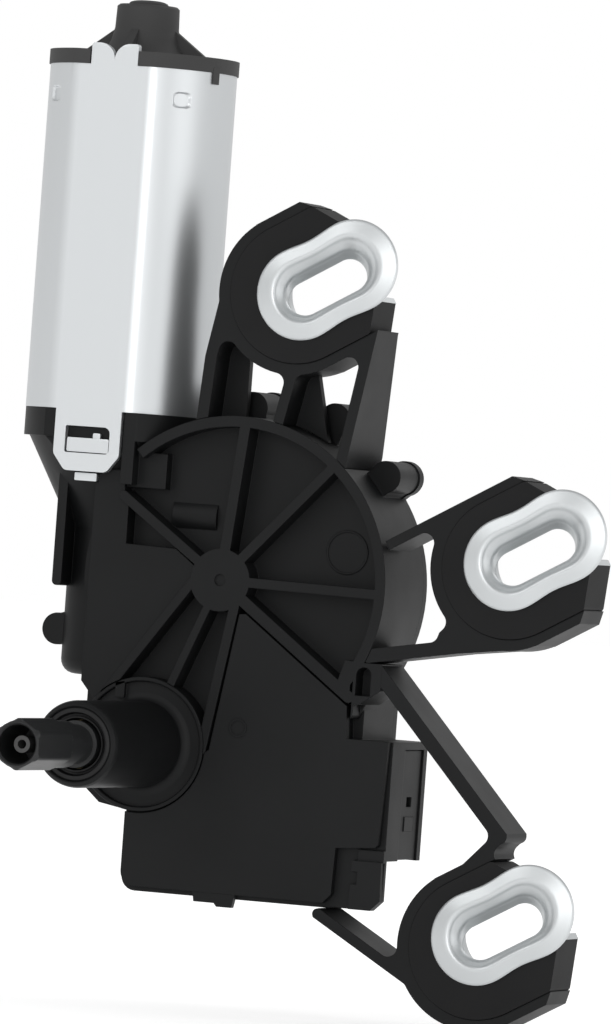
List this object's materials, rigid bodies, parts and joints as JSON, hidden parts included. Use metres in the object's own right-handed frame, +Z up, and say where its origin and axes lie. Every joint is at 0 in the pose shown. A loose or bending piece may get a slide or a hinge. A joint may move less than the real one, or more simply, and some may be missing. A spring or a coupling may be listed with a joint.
{
  "type": "rear window wiper motor",
  "caption": "Electric gear motor with a flat-sided can, ribbed gear case, hollow oscillating spindle in a neck, and rubber-mounted fork eyes with slotted bushes.",
  "frame": {"origin": "on the spindle's axis, at the plane of the gear case's front ribs", "axes": "+Z up along the motor, -Y along the spindle towards the viewer, +X to the right towards the fork eyes"},
  "size_m": [0.1328, 0.1035, 0.2047],
  "materials": {
    "moulded_case": "satin black glass-filled plastic with a fine grain",
    "cap_plastic": "semi-gloss black plastic",
    "bright_can": "bright plated steel, smooth",
    "pressed_steel": "matt zinc-plated pressed steel",
    "rubber": "matt black rubber",
    "spindle_black": "black coated steel, slightly shiny",
    "nozzle_plastic": "dark plastic tube",
    "dark_steel": "black coated steel",
    "ground_steel": "ground steel",
    "stack_steel": "laminated iron",
    "copper": "enamelled copper",
    "sintered_bronze": "oiled sintered bronze",
    "brass": "brass",
    "ferrite": "dark ferrite",
    "laminate": "brown laminate",
    "carbon": "carbon",
    "board": "green circuit board",
    "gear_plastic": "natural gear plastic"
  },
  "bodies": {
    "housing": {"gear_housing": "moulded_case", "spindle_neck": "moulded_case", "upper_fork": "moulded_case", "middle_fork": "moulded_case", "lower_fork": "moulded_case", "rear_cover": "moulded_case", "rear_cover_screws": "dark_steel", "electronics_cover": "moulded_case", "circuit_board": "board", "board_parts": "dark_steel", "connector_socket": "moulded_case", "connector_pins": "brass", "motor_can": "bright_can", "can_clip": "bright_can", "end_cap": "cap_plastic", "end_cap_bearing": "sintered_bronze", "field_magnets": "ferrite", "brush_plate": "laminate", "carbon_brushes": "carbon", "lower_bearing": "sintered_bronze", "wheel_pin": "ground_steel", "idler_pin": "ground_steel", "neck_bush_front": "sintered_bronze", "neck_bush_rear": "sintered_bronze", "spindle_seal": "rubber", "washer_pipe": "nozzle_plastic", "upper_grommet": "rubber", "middle_grommet": "rubber", "lower_grommet": "rubber", "upper_bush": "pressed_steel", "middle_bush": "pressed_steel", "lower_bush": "pressed_steel"},
    "armature": {"armature_shaft": "ground_steel", "armature_stack": "stack_steel", "armature_windings": "copper", "commutator": "copper", "worm": "ground_steel"},
    "drive_wheel": {"worm_wheel": "gear_plastic", "drive_pinion": "ground_steel"},
    "idler": {"idler_gear": "gear_plastic"},
    "spindle": {"spindle_gear": "ground_steel", "output_spindle": "spindle_black", "gear_retaining_ring": "ground_steel"}
  },
  "joints": [
    {"name": "spindle_sweep", "type": "hinge", "parent": "housing", "child": "spindle", "pos_m": [0, 0, 0], "axis": [0, 1, 0], "range_deg": [0, 110]},
    {"name": "idler_turn", "type": "hinge", "parent": "housing", "child": "idler", "pos_m": [0.0074, 0, 0.0173], "axis": [0, 1, 0], "range_deg": [-122.3, 0]},
    {"name": "wheel_turn", "type": "hinge", "parent": "housing", "child": "drive_wheel", "pos_m": [0.0148, 0, 0.0346], "axis": [0, 1, 0], "range_deg": [0, 110]},
    {"name": "armature_spin", "type": "hinge", "parent": "housing", "child": "armature", "pos_m": [-0.0155, 0.016, 0.1], "axis": [0, 0, 1], "range_deg": [-5280, 0]}
  ],
  "couplings": [
    {"joint": "wheel_turn", "follows": "armature_spin", "ratio": -0.020833},
    {"joint": "idler_turn", "follows": "armature_spin", "ratio": 0.023148},
    {"joint": "spindle_sweep", "follows": "armature_spin", "ratio": -0.020833}
  ]
}
